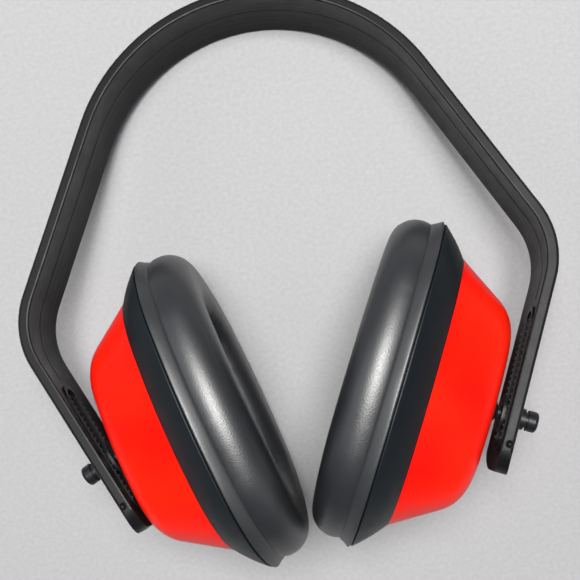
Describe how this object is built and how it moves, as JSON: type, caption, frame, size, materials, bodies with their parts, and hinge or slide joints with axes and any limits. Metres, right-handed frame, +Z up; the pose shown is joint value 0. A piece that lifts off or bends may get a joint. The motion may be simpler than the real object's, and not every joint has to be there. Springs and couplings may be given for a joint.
{
  "type": "earmuff hearing protector",
  "caption": "Passive earmuff hearing protector with a moulded over-head band, slotted arms, ball-mounted oval cups and soft ring cushions.",
  "frame": {"origin": "on the surface the earmuff lies on, under the middle of its bounding box", "axes": "+Z up from the surface; +Y from the cups to the crown of the headband; +X towards the right cup (the one on the right as seen from above with the crown away from the viewer)"},
  "size_m": [0.1748, 0.1856, 0.0834],
  "materials": {
    "band": "satin black moulded plastic",
    "fitting": "satin black moulded plastic",
    "shell": "semi-gloss red moulded plastic",
    "rim": "blue-black moulded plastic",
    "cushion": "soft black vinyl skin",
    "foam": "open-cell grey foam"
  },
  "bodies": {
    "headband": {"headband": "band"},
    "left_slider": {"left_slot_guide": "fitting"},
    "left_stud": {"left_pivot_stud": "fitting", "left_stud_knob": "fitting"},
    "left_collar": {"left_socket_collar": "fitting"},
    "left_cup": {"left_cup_shell": "shell", "left_rim_ring": "rim", "left_cup_foam": "foam", "left_cushion_plate": "rim", "left_cushion_foam": "foam", "left_cushion_skin": "cushion"},
    "right_slider": {"right_slot_guide": "fitting"},
    "right_stud": {"right_pivot_stud": "fitting", "right_stud_knob": "fitting"},
    "right_collar": {"right_socket_collar": "fitting"},
    "right_cup": {"right_cup_shell": "shell", "right_rim_ring": "rim", "right_cup_foam": "foam", "right_cushion_plate": "rim", "right_cushion_foam": "foam", "right_cushion_skin": "cushion"}
  },
  "joints": [
    {"name": "left_height", "type": "slide", "parent": "headband", "child": "left_slider", "axis": [0.4312, -0.8804, 0.1975], "range_m": [-0.02, 0]},
    {"name": "left_swivel", "type": "hinge", "parent": "left_slider", "child": "left_stud", "pos_m": [-0.0589, -0.05019, 0.0439], "axis": [0.9023, 0.4199, -0.0979], "range_deg": [-12, 12]},
    {"name": "left_tilt", "type": "hinge", "parent": "left_stud", "child": "left_collar", "pos_m": [-0.0589, -0.05019, 0.0439], "axis": [-0.0032, -0.2204, -0.9754], "range_deg": [0, 0.7]},
    {"name": "left_roll", "type": "hinge", "parent": "left_collar", "child": "left_cup", "pos_m": [-0.0589, -0.05019, 0.0439], "axis": [0.2763, -0.9376, 0.2109], "range_deg": [-3, 3]},
    {"name": "right_height", "type": "slide", "parent": "headband", "child": "right_slider", "axis": [-0.4298, -0.8804, 0.2003], "range_m": [-0.025, 0]},
    {"name": "right_swivel", "type": "hinge", "parent": "right_slider", "child": "right_stud", "pos_m": [0.05617, -0.05592, 0.04481], "axis": [-0.9029, 0.4199, -0.0919], "range_deg": [-90, 90]},
    {"name": "right_tilt", "type": "hinge", "parent": "right_stud", "child": "right_collar", "pos_m": [0.05617, -0.05592, 0.04481], "axis": [0.0032, 0.2204, 0.9754], "range_deg": [0, 9]},
    {"name": "right_roll", "type": "hinge", "parent": "right_collar", "child": "right_cup", "pos_m": [0.05617, -0.05592, 0.04481], "axis": [-0.4455, -0.8729, 0.1987], "range_deg": [-8, 8]}
  ]
}
